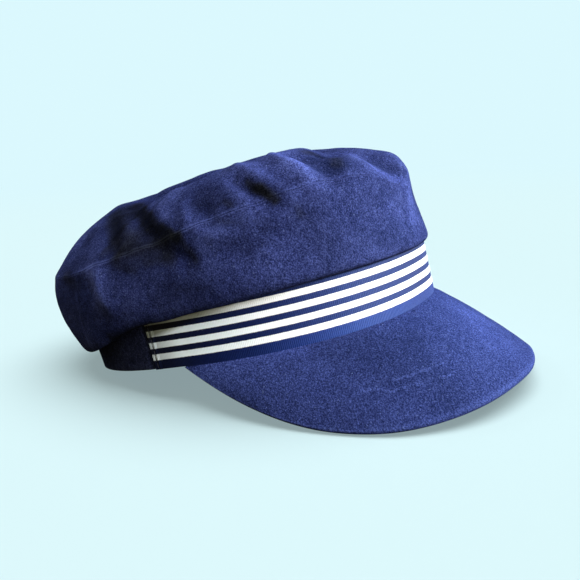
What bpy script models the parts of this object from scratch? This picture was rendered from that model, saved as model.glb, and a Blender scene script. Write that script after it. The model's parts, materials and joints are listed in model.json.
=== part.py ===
# A soft suede sailor cap: a crown of one top panel and two side panels, a band,
# a striped ribbon round the front of the band, and a stiff peak covered above and below.
#
# The cap is modelled level, with the rim of the band at z = 0, the peak towards -Y and
# the wearer's right towards -X. It is then tipped back to lie on the rim and the peak.
# Angles go round the cap from the front, growing towards the wearer's right.

import math
from collections import namedtuple

import bmesh
import bpy
from mathutils import Matrix, Vector

MM = 0.001

# The head oval, across the outer face of the ribbon. A power of 2 is an ellipse.
OVAL_WIDTH = 169.8 * MM
OVAL_LENGTH = 198.8 * MM
OVAL_POWER = 2.36

GAP = 0.3 * MM
SUEDE_WALL = 1.5 * MM

BAND_HEIGHT = 29.0 * MM
BAND_WALL = 2.0 * MM

RIBBON_HEIGHT = 28.3 * MM
RIBBON_WALL = 0.8 * MM
RIBBON_HALF_ANGLE = math.radians(102)
BAND_STEP_ANGLE = math.radians(1)

PEAK_COVER = 1.6 * MM
PEAK_REACH = 56.9 * MM          # from the band to the edge, at the front
PEAK_END_REACH = 1.5 * MM
PEAK_TUCK = 2.8 * MM            # how far the root goes in under the band
PEAK_HALF_ANGLE = math.radians(89.4)
PEAK_SLOPE = math.radians(34.5)
PEAK_SIDE_SLOPE = math.radians(11.9)
PEAK_SAG_RADIUS = 170.0 * MM
PEAK_FAN = 0.29                 # turn of the peak's lines for each radian round the band
PEAK_OUTLINE_POWER = 4.7

# The crown's section, in millimetres, at angles round the cap. The side panel leaves the
# top of the band, folds over the ribbon and rises to the seam of the top panel. The
# shoulder is the power of the top panel's rise: the more, the fuller it stands above the seam.
CrownRow = namedtuple("CrownRow", "angle fold_out fold_drop bulge seam_out seam_height shoulder")
CROWN_ROWS = (
    CrownRow(0, 2.8, 0.6, -1.5, 1.8, 64.7, 3.0),
    CrownRow(20, 2.9, 0.4, -1.5, -0.2, 73.5, 3.2),
    CrownRow(42, 5.4, 0.8, 0.7, -0.6, 73.2, 3.7),
    CrownRow(66, 7.0, 3.4, 2.2, -2.6, 68.8, 3.1),
    CrownRow(90, 5.5, 2.8, 3.2, -2.4, 63.7, 2.7),
    CrownRow(112, 5.2, 7.3, 3.1, 0.4, 60.0, 2.4),
    CrownRow(132, 8.2, 15.8, 2.5, 6.0, 57.2, 2.6),
    CrownRow(152, 10.6, 14.4, 5.0, 14.4, 57.5, 3.4),
    CrownRow(180, 12.7, 13.5, 3.5, 20.0, 60.5, 3.7),
)
# From the outer face to the inner one at each knot of the section: outwards and up.
WALL_WAYS = ((0, 1), (0.8, 0.6), (0, 1), (-1, 0), (-1, 0), (-0.95, -0.45))
FOLD_RISE = 3.0 * MM            # from the fold's lowest point to its outermost one
FOLD_RISE_SHARE = 0.45          # and this share of how far it stands out
CROWN_EDGE_OUT = -2.2 * MM      # the side panel's lower edge, over the middle of the band
CROWN_TURN_OUT = 0.6 * MM       # where that edge turns down over the band

TIP_CENTRE_Y = -5.0 * MM
TIP_HEIGHT = 94.0 * MM
TIP_RADIUS = 95.0 * MM

# Creases of the soft crown, each along a line from one place to another. A place is an
# angle round the cap and a rise: on the top panel the distance in from the seam, and on
# the side panel, below 0, the height from the seam. A valley has a depth above 0 and a
# ridge below it. Lengths are in millimetres, and angles below 0 are the wearer's left.
Crease = namedtuple("Crease", "angle rise to_angle to_rise half_width depth")
CREASES = (
    Crease(133, 45, 92, 10, 7, 4.5),
    Crease(92, 10, 73, -16, 7, 4.5),
    Crease(72, 18, 67, 8, 9, 4.0),
    Crease(55, 20, 46, -5, 5.5, 3.8),
    Crease(38, 45, 40, 7, 5, 1.5),
    Crease(-20, 42, 28, 24, 8, 3.0),
    Crease(28, 24, 28, 1, 7, 3.2),
    Crease(-6, 15, -5, 2, 7, 2.5),
    Crease(136, 37, 110, 5, 5, 2.5),
    Crease(133, 3, 120, -12, 6, 2.5),
    Crease(141, 20, 142, 13, 5, 1.5),
    Crease(138, 60, 95, 62, 16, 8.0),
    Crease(95, 58, 75, 66, 16, 2.5),
    Crease(172, 26, 170, -4, 8, 2.0),
    Crease(-160, 32, -164, -8, 8, 2.5),
    Crease(-135, 34, -122, -6, 8, 2.8),
    Crease(-108, 30, -96, -12, 9, 3.2),
    Crease(-82, 26, -74, 2, 8, 3.0),
    Crease(-58, 26, -50, -6, 6, 2.5),
    Crease(80, 16, 76, 4, 5, -1.5),
    Crease(76, 4, 66, -8, 5, -1.5),
    Crease(66, -8, 57, -10, 5, -1.5),
    Crease(63, 34, 48, -8, 5, -2.0),
    Crease(105, 48, 94, 22, 6, -1.5),
    Crease(47, 33, 44, 1, 4.5, -1.6),
    Crease(-10, 58, 34, 33, 7, -1.8),
    Crease(34, 33, 32, -2, 5, -2.5),
    Crease(1, 26, 12, 9, 5, -1.5),
    Crease(119, 2, 111, -23, 6, -2.0),
    Crease(117, 24, 105, 10, 4, -1.2),
    Crease(-95, 24, -86, -6, 6, -1.6),
    Crease(-68, 24, -62, -8, 5, -1.5),
    Crease(-147, 26, -144, -10, 7, -1.6),
)
CREASE_BLEND = 4                # the power that blends creases where they meet
CREASE_ARC = 1.6 * MM           # length round the crown of one degree, at the seam
CREASE_BEND = 15.0 * MM         # within this of the seam, creases turn from out to up
SEAM_STIFF_WIDTH = 4.0 * MM     # the seam holds creases shallow within this of it
SEAM_STIFF_SHARE = 0.6

SIDE_SEAM_ANGLE = math.radians(129)

COLUMNS_ROUND = 96
SECTION_ROWS = 12
PEAK_COLUMNS = 36
PEAK_ROWS = 8
SHARP_ANGLE = math.radians(40)

SUEDE_NAVY = (0.022, 0.028, 0.125, 1.0)
SUEDE_DARK = (0.018, 0.022, 0.095, 1.0)
RIBBON_WHITE = (0.82, 0.83, 0.86, 1.0)
SUEDE_ROUGHNESS = 0.95
RIBBON_ROUGHNESS = 0.6


def clear_scene():
    for found in list(bpy.data.objects):
        bpy.data.objects.remove(found, do_unlink=True)


def make_material(name, colour, roughness):
    material = bpy.data.materials.new(name)
    material.use_nodes = True
    shader = material.node_tree.nodes["Principled BSDF"]
    shader.inputs["Base Color"].default_value = colour
    shader.inputs["Roughness"].default_value = roughness
    shader.inputs["Metallic"].default_value = 0.0
    return material


# The oval


def oval_point(angle):
    side = abs(math.sin(angle)) / (OVAL_WIDTH / 2)
    front = abs(math.cos(angle)) / (OVAL_LENGTH / 2)
    radius = (side**OVAL_POWER + front**OVAL_POWER) ** (-1 / OVAL_POWER)
    return Vector((-radius * math.sin(angle), -radius * math.cos(angle), 0))


def oval_normal(angle):
    point = oval_point(angle)
    half_width = OVAL_WIDTH / 2
    half_length = OVAL_LENGTH / 2
    steep_x = abs(point.x / half_width) ** (OVAL_POWER - 1) / half_width
    steep_y = abs(point.y / half_length) ** (OVAL_POWER - 1) / half_length
    return Vector((math.copysign(steep_x, point.x), math.copysign(steep_y, point.y), 0)).normalized()


def oval_place(angle, out, height):
    return oval_point(angle) + out * oval_normal(angle) + Vector((0, 0, height))


# Curves through the rows of a table and through the knots of a section


def crown_row(angle):
    # A smooth curve through the rows, the same on both sides of the cap.
    degrees = abs(math.degrees(math.remainder(angle, 2 * math.pi)))
    front_mirror = CROWN_ROWS[1]._replace(angle=-CROWN_ROWS[1].angle)
    back_mirror = CROWN_ROWS[-2]._replace(angle=360 - CROWN_ROWS[-2].angle)
    knots = (front_mirror,) + CROWN_ROWS + (back_mirror,)
    place = 1
    while place < len(CROWN_ROWS) - 1 and degrees >= knots[place + 1].angle:
        place += 1
    before, start, end, after = knots[place - 1 : place + 3]
    span = end.angle - start.angle
    share = (degrees - start.angle) / span
    values = []
    for column in range(1, len(start)):
        leave = (end[column] - before[column]) / (end.angle - before.angle) * span
        arrive = (after[column] - start[column]) / (after.angle - start.angle) * span
        values.append(hermite(start[column], end[column], leave, arrive, share))
    return CrownRow(degrees, *values)


def hermite(start, end, leave, arrive, share):
    square = share * share
    cube = square * share
    return (
        (2 * cube - 3 * square + 1) * start
        + (cube - 2 * square + share) * leave
        + (3 * square - 2 * cube) * end
        + (cube - square) * arrive
    )


def curve_through(knots, share):
    # A point on a smooth curve through the knots, each span an equal share of it.
    spans = len(knots) - 1
    span = min(int(share * spans), spans - 1)
    local = share * spans - span
    start = knots[span]
    end = knots[span + 1]
    before = knots[span - 1] if span > 0 else 2 * start - end
    after = knots[span + 2] if span + 2 < len(knots) else 2 * end - start
    leave = (end - before) / 2
    arrive = (after - start) / 2
    return hermite(start, end, leave, arrive, local)


# The crown


def crown_knots(angle):
    # The outer face's section and, for each knot, the way through the wall.
    row = crown_row(angle)
    fold_out = row.fold_out * MM
    edge_height = BAND_HEIGHT + GAP
    low = Vector((fold_out / 2, BAND_HEIGHT - row.fold_drop * MM))
    fold = Vector((fold_out, low.y + FOLD_RISE + FOLD_RISE_SHARE * fold_out))
    seam = Vector((row.seam_out * MM, row.seam_height * MM))
    middle = (fold + seam) / 2 + Vector((row.bulge * MM, 0))
    edge = Vector((CROWN_EDGE_OUT, edge_height))
    turn = Vector((CROWN_TURN_OUT, edge_height))
    return [edge, turn, low, fold, middle, seam], [Vector(way) for way in WALL_WAYS]


def crease_depth(angle, rise):
    # The valleys here less the ridges here, each sort blended into one smooth surface.
    valleys = 0.0
    ridges = 0.0
    inward = max(rise, 0) / TIP_RADIUS
    arc = CREASE_ARC * max(1 - inward, 0)
    for crease in CREASES:
        start = Vector((0, crease.rise * MM))
        line = Vector(((crease.to_angle - crease.angle) * arc, crease.to_rise * MM)) - start
        turn = math.remainder(math.degrees(angle) - crease.angle, 360)
        place = Vector((turn * arc, rise))
        share = min(max((place - start).dot(line) / line.length_squared, 0), 1)
        distance = (place - start - line * share).length
        here = abs(crease.depth) * math.exp(-((distance / (crease.half_width * MM)) ** 2))
        if crease.depth > 0:
            valleys += here**CREASE_BLEND
        else:
            ridges += here**CREASE_BLEND
    held = 1 - SEAM_STIFF_SHARE * math.exp(-((rise / SEAM_STIFF_WIDTH) ** 2))
    return (valleys ** (1 / CREASE_BLEND) - ridges ** (1 / CREASE_BLEND)) * MM * held


def creased(point, angle, rise):
    # Pushes a point of the crown in at a valley and out at a ridge.
    share = min(max((rise + CREASE_BEND) / (2 * CREASE_BEND), 0), 1)
    lean = share * math.pi / 2
    outward = math.cos(lean) * oval_normal(angle) + math.sin(lean) * Vector((0, 0, 1))
    return point - crease_depth(angle, rise) * outward


def side_panel_point(angle, share, depth):
    # Both faces are creased by the height of the outer one, so the wall keeps its thickness.
    outer, through = crown_knots(angle)
    seam_height = outer[-1].y
    outer[-1] = outer[-1] - Vector((0, GAP / 2))
    knots = [knot + depth * SUEDE_WALL * way for knot, way in zip(outer, through)]
    out, height = curve_through(knots, share)
    point = oval_place(angle, out, height)
    return creased(point, angle, curve_through(outer, share).y - seam_height)


def tip_point(angle, share, depth):
    outer, through = crown_knots(angle)
    seam = outer[-1] + depth * SUEDE_WALL * through[-1]
    rim = oval_place(angle, seam.x, seam.y)
    centre = Vector((0, TIP_CENTRE_Y, TIP_HEIGHT - depth * SUEDE_WALL))
    reach = (oval_place(angle, outer[-1].x, 0) - centre).to_2d().length
    share = share * (1 - GAP / 2 / reach)
    point = centre + (rim - centre) * share
    point.z = rim.z + (centre.z - rim.z) * (1 - share ** crown_row(angle).shoulder)
    return creased(point, angle, (1 - share) * reach)


# The peak


def peak_reach(across):
    return PEAK_END_REACH + (PEAK_REACH - PEAK_END_REACH) * (1 - abs(across) ** PEAK_OUTLINE_POWER)


def peak_line(across, reach):
    # A point of the peak's upper face, "reach" out from the band. Below 0 it is under the band.
    angle = PEAK_HALF_ANGLE * across
    if reach <= 0:
        return oval_place(angle, reach, -GAP)
    heading = PEAK_FAN * angle
    slope = PEAK_SLOPE + PEAK_SIDE_SLOPE * across**2
    run = reach * math.cos(slope)
    drop = reach * math.sin(slope) + reach**2 / (2 * PEAK_SAG_RADIUS)
    start = oval_place(angle, 0, -GAP)
    return start + Vector((-run * math.sin(heading), -run * math.cos(heading), -drop))


def peak_normal(across, reach):
    step = 0.2 * MM
    part = 0.001
    out = peak_line(across, reach + step) - peak_line(across, reach - step)
    along = peak_line(across + part, reach) - peak_line(across - part, reach)
    normal = along.cross(out)
    return normal.normalized() if normal.z > 0 else -normal.normalized()


def peak_point(across, share, below):
    reach = -PEAK_TUCK + share * (PEAK_TUCK + peak_reach(across))
    return peak_line(across, reach) - below * peak_normal(across, reach)


# Walls from flat sheets of parameters


def grid_sheet(columns, rows):
    sheet = bmesh.new()
    bmesh.ops.create_grid(sheet, x_segments=columns, y_segments=rows, size=0.5)
    bmesh.ops.translate(sheet, verts=sheet.verts, vec=(0.5, 0.5, 0))
    return sheet


def ring_sheet(columns):
    # A tube of radius 1 and height 1.
    sheet = bmesh.new()
    bmesh.ops.create_circle(sheet, segments=columns, radius=1)
    raised = bmesh.ops.extrude_edge_only(sheet, edges=sheet.edges[:])["geom"]
    top = [item for item in raised if isinstance(item, bmesh.types.BMVert)]
    bmesh.ops.translate(sheet, verts=top, vec=(0, 0, 1))
    return sheet


def disc_sheet(columns):
    # A square grid pushed out to the unit disc, with its edge points at even angles.
    sheet = bmesh.new()
    bmesh.ops.create_grid(sheet, x_segments=columns, y_segments=columns, size=1)
    for vert in sheet.verts:
        x, y = vert.co.x, vert.co.y
        radius = max(abs(x), abs(y))
        if radius == 0:
            continue
        if abs(x) >= abs(y):
            turn = math.pi / 4 * (y / x)
            vert.co = Vector((math.cos(turn), math.sin(turn), 0)) * math.copysign(radius, x)
        else:
            turn = math.pi / 4 * (x / y)
            vert.co = Vector((math.sin(turn), math.cos(turn), 0)) * math.copysign(radius, y)
    # The cells at the square's corners have three points nearly in line, so each is cut
    # in two across its shorter way.
    bmesh.ops.triangulate(sheet, faces=sheet.faces[:], quad_method="SHORT_EDGE")
    return sheet


def wall_object(name, sheet, place, material):
    # Doubles the sheet into an outer and an inner face with edges between them.
    # place(x, y, z, depth) puts a sheet vertex in space, depth 0 outside and 1 inside.
    copied = bmesh.ops.extrude_face_region(sheet, geom=sheet.faces[:])["geom"]
    inner = {item for item in copied if isinstance(item, bmesh.types.BMVert)}
    for vert in sheet.verts:
        depth = 1.0 if vert in inner else 0.0
        vert.co = place(vert.co.x, vert.co.y, vert.co.z, depth)
    bmesh.ops.recalc_face_normals(sheet, faces=sheet.faces[:])
    if sheet.calc_volume(signed=True) < 0:
        bmesh.ops.reverse_faces(sheet, faces=sheet.faces[:])
    mesh = bpy.data.meshes.new(name)
    sheet.to_mesh(mesh)
    sheet.free()
    mesh.shade_smooth()
    mesh.set_sharp_from_angle(angle=SHARP_ANGLE)
    mesh.materials.append(material)
    made = bpy.data.objects.new(name, mesh)
    bpy.context.collection.objects.link(made)
    return made


def between(start, end, share):
    return start + (end - start) * share


def make_side_panel(name, first_angle, last_angle, columns, material):
    # A vertical seam at each end, so the panel stops half a gap short of both.
    trim = GAP / 2 / (OVAL_WIDTH / 2)

    def place(x, y, z, depth):
        angle = between(first_angle + trim, last_angle - trim, x)
        return side_panel_point(angle, y, depth)

    return wall_object(name, grid_sheet(columns, SECTION_ROWS), place, material)


def make_top_panel(name, material):
    def place(x, y, z, depth):
        return tip_point(math.atan2(-x, -y), math.hypot(x, y), depth)

    return wall_object(name, disc_sheet(COLUMNS_ROUND // 4), place, material)


def band_out(angle):
    # The band is let in by the ribbon's thickness, and fuller behind the ribbon's ends.
    turn = abs(math.remainder(angle, 2 * math.pi)) - RIBBON_HALF_ANGLE
    share = min(max(turn / BAND_STEP_ANGLE - 1, 0), 1)
    return (share - 1) * (RIBBON_WALL + GAP)


def make_band(name, material):
    inner = -(RIBBON_WALL + GAP + BAND_WALL)

    def place(x, y, z, depth):
        angle = math.atan2(-x, -y)
        return oval_place(angle, between(band_out(angle), inner, depth), z * BAND_HEIGHT)

    return wall_object(name, ring_sheet(COLUMNS_ROUND), place, material)


def make_ribbon(name, material):
    columns = round(COLUMNS_ROUND * RIBBON_HALF_ANGLE / math.pi)

    def place(x, y, z, depth):
        angle = between(-RIBBON_HALF_ANGLE, RIBBON_HALF_ANGLE, x)
        return oval_place(angle, -depth * RIBBON_WALL, y * RIBBON_HEIGHT)

    return wall_object(name, grid_sheet(columns, 1), place, material)


def make_peak_cover(name, below, material):
    def place(x, y, z, depth):
        across = math.sin(between(-math.pi / 2, math.pi / 2, x))
        return peak_point(across, y, below + depth * PEAK_COVER)

    return wall_object(name, grid_sheet(PEAK_COLUMNS, PEAK_ROWS), place, material)


def rest_on_surface(pieces):
    # Tips the cap back about the rear of its rim until the peak touches the surface,
    # and sets the middle of its underside at the origin.
    back = OVAL_LENGTH / 2
    points = [vert.co for piece in pieces for vert in piece.data.vertices]
    tilt = max(math.atan2(-point.z, back - point.y) for point in points if point.y < 0)
    tip_back = Matrix.Rotation(-tilt, 4, "X")
    tipped = [tip_back @ point for point in points]
    lows = Vector([min(point[axis] for point in tipped) for axis in range(3)])
    highs = Vector([max(point[axis] for point in tipped) for axis in range(3)])
    middle = (lows + highs) / 2
    rest = bpy.data.objects.new("cap_rest", None)
    bpy.context.collection.objects.link(rest)
    rest.rotation_euler = (-tilt, 0, 0)
    rest.location = (-middle.x, -middle.y, -lows.z)
    for piece in pieces:
        piece.parent = rest


def main():
    clear_scene()
    suede = make_material("navy suede", SUEDE_NAVY, SUEDE_ROUGHNESS)
    dark_suede = make_material("navy suede, shaded side", SUEDE_DARK, SUEDE_ROUGHNESS)
    ribbon = make_material("striped ribbon", RIBBON_WHITE, RIBBON_ROUGHNESS)
    back_columns = round(COLUMNS_ROUND * (math.pi - SIDE_SEAM_ANGLE) / math.pi)
    front_columns = COLUMNS_ROUND - back_columns
    pieces = [
        make_top_panel("crown_top", suede),
        make_side_panel("crown_front", -SIDE_SEAM_ANGLE, SIDE_SEAM_ANGLE, front_columns, suede),
        make_side_panel(
            "crown_back", SIDE_SEAM_ANGLE, 2 * math.pi - SIDE_SEAM_ANGLE, back_columns, suede
        ),
        make_band("band", dark_suede),
        make_ribbon("ribbon", ribbon),
        make_peak_cover("peak_top", 0, suede),
        make_peak_cover("peak_under", PEAK_COVER + GAP, dark_suede),
    ]
    rest_on_surface(pieces)


main()
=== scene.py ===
import json
import math

import bmesh
import bpy
import numpy as np
from mathutils import Matrix, Vector, noise

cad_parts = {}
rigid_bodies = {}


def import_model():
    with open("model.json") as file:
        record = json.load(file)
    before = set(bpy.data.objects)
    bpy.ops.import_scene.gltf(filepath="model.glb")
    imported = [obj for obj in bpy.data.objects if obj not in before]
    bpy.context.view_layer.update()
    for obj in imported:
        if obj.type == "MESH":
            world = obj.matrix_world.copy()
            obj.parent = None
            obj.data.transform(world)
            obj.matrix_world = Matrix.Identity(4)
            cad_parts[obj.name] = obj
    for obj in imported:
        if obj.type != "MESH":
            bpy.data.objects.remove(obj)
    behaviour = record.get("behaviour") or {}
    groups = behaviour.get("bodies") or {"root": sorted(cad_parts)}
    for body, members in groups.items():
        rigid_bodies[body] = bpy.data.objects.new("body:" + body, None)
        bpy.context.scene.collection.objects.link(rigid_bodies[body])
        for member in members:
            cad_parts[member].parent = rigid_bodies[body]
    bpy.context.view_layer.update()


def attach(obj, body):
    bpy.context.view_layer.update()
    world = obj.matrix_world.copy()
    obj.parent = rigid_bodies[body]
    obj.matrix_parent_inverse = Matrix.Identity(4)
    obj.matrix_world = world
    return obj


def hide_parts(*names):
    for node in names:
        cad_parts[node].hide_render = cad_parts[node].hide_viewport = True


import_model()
mm = 0.001

# Everything is shaped in millimetres with the cap level: rim at height 0, peak towards -Y.
# Angles go round the cap from the front, growing towards the wearer's right (-X).

capPose = {
    "tilt": 12.507131,  # degrees that the cap is tipped back
    "place": (0.0, 11.179872, 21.526180),
}
capToWorld = (Matrix.Translation(Vector(capPose["place"]) * mm)
              @ Matrix.Rotation(-math.radians(capPose["tilt"]), 4, "X"))

oval = {"width": 169.8, "length": 198.8, "power": 2.36}  # of the head, 2 would be an ellipse


def ovalPoint(angle):
    power = oval["power"]
    side = np.abs(np.sin(angle)) / (oval["width"] / 2)
    front = np.abs(np.cos(angle)) / (oval["length"] / 2)
    radius = (side**power + front**power) ** (-1 / power)
    return np.stack([-radius * np.sin(angle), -radius * np.cos(angle), 0 * angle], axis=-1)


def ovalNormal(angle):
    point = ovalPoint(angle)
    halves = np.array([oval["width"] / 2, oval["length"] / 2, 1])
    steep = np.sign(point) * np.abs(point / halves) ** (oval["power"] - 1) / halves
    return steep / np.linalg.norm(steep, axis=-1, keepdims=True)


def ovalPlace(angle, out, height):
    # a place this far outside the oval and this high over the rim
    point = ovalPoint(angle) + np.asarray(out)[..., None] * ovalNormal(angle)
    point[..., 2] += height
    return point


def hermite(start, end, leave, arrive, share):
    square = share * share
    cube = square * share
    return ((2 * cube - 3 * square + 1) * start + (cube - 2 * square + share) * leave
            + (3 * square - 2 * cube) * end + (cube - square) * arrive)


def between(start, end, share):
    return start + (end - start) * share


def graded(value, start, end):
    # 0 at the start and 1 at the end, held beyond them
    return np.clip((value - start) / (end - start), 0, 1)


def fromFront(angle):
    # degrees round from the front, 0 to 180 on either side
    return np.abs((np.degrees(angle) + 180) % 360 - 180)


def fineEnds(share, length, rows, fine, low=True):
    # fine is how many millimetres at an end hold how many of the rows
    edge, fineRows = fine[0] / length, fine[1] / rows
    knots, values = [0, 1 - fineRows, 1], [0, 1 - edge, 1]
    if low:
        knots.insert(1, fineRows)
        values.insert(1, edge)
    return np.interp(share, knots, values)


def edgeRoll(distance, radius):
    # how far a turned-in edge drops, a quarter round of this radius
    return radius * (1 - np.sqrt(1 - graded(distance, radius, 0) ** 2))


def unevenness(points, waves):
    # soft noise in millimetres: for each wave its size, height and seed
    total = 0.0
    for size, height, seed in waves:
        shift = Vector((seed * 17.3, seed * 5.1, seed * 9.7))
        wave = np.array([noise.noise(Vector(point) / size + shift) for point in points])
        total = total + height * wave
    return total


def softLine(distance, amount, middle, halfWidth):
    # this amount at its middle, dying out softly to both sides
    return amount * np.exp(-((distance - middle) / halfWidth) ** 2)


# Flat sheets, bent to shape and made walls

sharpAngle = 50  # edges that turn by more degrees stay sharp


def gridSheet(columns, rows):
    sheet = bmesh.new()
    bmesh.ops.create_grid(sheet, x_segments=columns, y_segments=rows, size=0.5)
    bmesh.ops.translate(sheet, verts=sheet.verts, vec=(0.5, 0.5, 0))
    return sheet


def discSheet(cells):
    # a square grid pushed out to the unit disc
    sheet = bmesh.new()
    bmesh.ops.create_grid(sheet, x_segments=cells, y_segments=cells, size=1)
    for vert in sheet.verts:
        x, y = vert.co.x, vert.co.y
        radius = max(abs(x), abs(y))
        if radius == 0:
            continue
        if abs(x) >= abs(y):
            turn = math.pi / 4 * (y / x)
            vert.co = Vector((math.cos(turn), math.sin(turn), 0)) * math.copysign(radius, x)
        else:
            turn = math.pi / 4 * (x / y)
            vert.co = Vector((math.sin(turn), math.cos(turn), 0)) * math.copysign(radius, y)
    bmesh.ops.triangulate(sheet, faces=sheet.faces[:], quad_method="SHORT_EDGE")
    return sheet


def only(kind, items):
    return [item for item in items if isinstance(item, kind)]


def raiseEdges(sheet, edges, height):
    raised = bmesh.ops.extrude_edge_only(sheet, edges=edges)["geom"]
    bmesh.ops.translate(sheet, verts=only(bmesh.types.BMVert, raised), vec=(0, 0, height))
    return only(bmesh.types.BMEdge, raised)


def ringSheet(columns, rows):
    sheet = bmesh.new()
    bmesh.ops.create_circle(sheet, segments=columns, radius=1)
    edges = sheet.edges[:]
    for row in range(rows):
        edges = raiseEdges(sheet, edges, 1 / rows)
    return sheet


def newObject(name, data):
    made = bpy.data.objects.new(name, data)
    bpy.context.collection.objects.link(made)
    return made


def meshObject(name, sheet, material):
    mesh = bpy.data.meshes.new(name)
    sheet.to_mesh(mesh)
    sheet.free()
    mesh.shade_smooth()
    mesh.materials.append(material)
    return newObject(name, mesh)


def finish(name, sheet, material, node=None, marks=None):
    # puts the shaped sheet in the world as one piece, at the origin
    bmesh.ops.recalc_face_normals(sheet, faces=sheet.faces[:])
    if sheet.calc_volume(signed=True) < 0:
        bmesh.ops.reverse_faces(sheet, faces=sheet.faces[:])
    piece = meshObject(name, sheet, material)
    piece.data.set_sharp_from_angle(angle=math.radians(sharpAngle))
    for markName, values in (marks or {}).items():
        layer = piece.data.attributes.new(markName, "FLOAT", "POINT")
        layer.data.foreach_set("value", np.asarray(values, dtype=np.float32))
    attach(piece, "root")
    if node:
        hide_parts(node)


def wallPiece(name, sheet, place, material, node, uv=None):
    # Doubles the sheet into an outer and an inner face with edges between them.
    # place(x, y, z, depth) gives points and marks, depth 0 outside and 1 inside.
    copied = bmesh.ops.extrude_face_region(sheet, geom=sheet.faces[:])["geom"]
    sheet.verts.index_update()
    depth = np.zeros(len(sheet.verts))
    depth[[vert.index for vert in only(bmesh.types.BMVert, copied)]] = 1
    x, y, z = np.array([vert.co[:] for vert in sheet.verts]).T
    points, marks = place(x, y, z, depth)
    world = np.array(capToWorld)
    points = points * mm @ world[:3, :3].T + world[:3, 3]
    for vert, point in zip(sheet.verts, points):
        vert.co = point
    if uv is not None:
        across, up = uv(x, y, z)
        layer = sheet.loops.layers.uv.new("surface")
        for face in sheet.faces:
            for loop in face.loops:
                loop[layer].uv = (across[loop.vert.index], up[loop.vert.index])
    # the marks of tone and of painted light and shade are on the face side only
    outer = {markName: values * (1 - depth) for markName, values in marks.items()}
    finish(name, sheet, material, node, outer)


# Materials


class Nodes:
    # a small helper that adds and joins the nodes of one material
    def __init__(self, name):
        self.material = bpy.data.materials.new(name)
        self.material.use_nodes = True
        self.tree = self.material.node_tree
        self.shader = self.tree.nodes["Principled BSDF"]

    def add(self, kind, inputs=None, **settings):
        node = self.tree.nodes.new(kind)
        for key, value in settings.items():
            setattr(node, key, value)
        for key, value in (inputs or {}).items():
            self.give(node.inputs[key], value)
        return node

    def give(self, socket, value):
        # joins another node's output to a socket, or sets its plain value
        if hasattr(value, "is_output"):
            self.tree.links.new(value, socket)
        else:
            socket.default_value = value

    def inMillimetres(self):
        where = self.add("ShaderNodeTexCoord").outputs["Object"]
        return self.moved(where, Scale=(1000, 1000, 1000))

    def acrossAndUp(self):
        # the piece's own UV map, in millimetres
        return self.add("ShaderNodeUVMap", uv_map="surface").outputs[0]

    def mark(self, name):
        return self.add("ShaderNodeAttribute", attribute_name=name).outputs["Fac"]

    def apart(self, where):
        return self.add("ShaderNodeSeparateXYZ", {0: where}).outputs[:2]

    def moved(self, where, **change):
        return self.add("ShaderNodeMapping", {"Vector": where, **change}).outputs[0]

    def math(self, operation, first, second=0.0, third=0.0):
        node = self.add("ShaderNodeMath", {0: first, 1: second, 2: third}, operation=operation)
        return node.outputs[0]

    def plus(self, first, second):
        return self.math("ADD", first, second)

    def times(self, first, second):
        return self.math("MULTIPLY", first, second)

    def swing(self, value, amount):
        # a noise of 0 to 1 made to go as much below 0 as above it
        return self.math("MULTIPLY_ADD", value, amount, -amount / 2)

    def scaled(self, colour, amount):
        inputs = {0: colour, "Scale": amount}
        return self.add("ShaderNodeVectorMath", inputs, operation="SCALE").outputs[0]

    def tinted(self, colour, tint, share=None):
        if share is not None:
            tint = self.mixed(share, (1, 1, 1, 1), tint)
        inputs = {0: colour, 1: tint}
        return self.add("ShaderNodeVectorMath", inputs, operation="MULTIPLY").outputs[0]

    def mixed(self, factor, first, second):
        node = self.add("ShaderNodeMix", {"Factor": factor}, data_type="RGBA")
        colours = [socket for socket in node.inputs if socket.type == "RGBA"]
        for socket, value in zip(colours, (first, second)):
            self.give(socket, value)
        return [socket for socket in node.outputs if socket.type == "RGBA"][0]

    def noise(self, where, scale, detail=2.0, rough=0.5):
        inputs = {"Vector": where, "Scale": scale, "Detail": detail, "Roughness": rough}
        return self.add("ShaderNodeTexNoise", inputs).outputs[0]

    def stretched(self, value, low, high, toLow=0.0, toHigh=1.0):
        inputs = {0: value, 1: low, 2: high, 3: toLow, 4: toHigh}
        return self.add("ShaderNodeMapRange", inputs).outputs[0]

    def ramp(self, value, most, stops):
        # a colour ramp over 0 to most, with a place and a colour for each stop
        node = self.add("ShaderNodeValToRGB", {0: self.math("DIVIDE", value, most)})
        line = node.color_ramp.elements
        while len(line) < len(stops):
            line.new(0.5)
        for element, (place, colour) in zip(line, stops):
            element.position, element.color = place / most, colour
        return node.outputs[0]

    def bump(self, height, distance, strength):
        inputs = {"Height": height, "Distance": distance, "Strength": strength}
        return self.add("ShaderNodeBump", inputs).outputs[0]

    def set(self, **values):
        for key, value in values.items():
            self.give(self.shader.inputs[key.replace("_", " ")], value)


suedeLooks = {
    "dark": (0.0044, 0.0068, 0.028, 1.0),
    "middle": (0.0174, 0.0236, 0.088, 1.0),
    "light": (0.045, 0.061, 0.195, 1.0),
    "fibre": (0.11, 0.14, 0.30, 1.0),
    "sheenTint": (0.24, 0.34, 1.0, 1.0),
    "paintedShadeTint": (1.22, 1.0, 0.36, 1.0),  # greyer tint of the painted shade, where the strokes darken the colour most
    "paintedShadeTintFrom": (-0.38, -0.88),  # painted shade at which that tint starts and where it is full
    # noises: how many to the millimetre, detail, roughness
    "nap": (1.3, 3.0, 0.65),  # the fibres' ends
    "tufts": (0.34, 3.0, 0.6),  # small brushed tufts
    "patches": (0.07, 3.0, 0.55),  # the sweep of a brush
    "loose": (0.95, 1.0, 0.4),  # loose pale fibres
    "napTone": 2.4,  # how strongly the nap changes the tone, and the marks of tone and painted light
    "toneAndPaintedLightScale": 0.40,
    "looseShown": 0.55,
    "relief": 0.0009,  # of the bump, metres
    "roughness": 0.92,
    "sheenRoughness": 0.45,
}

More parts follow.
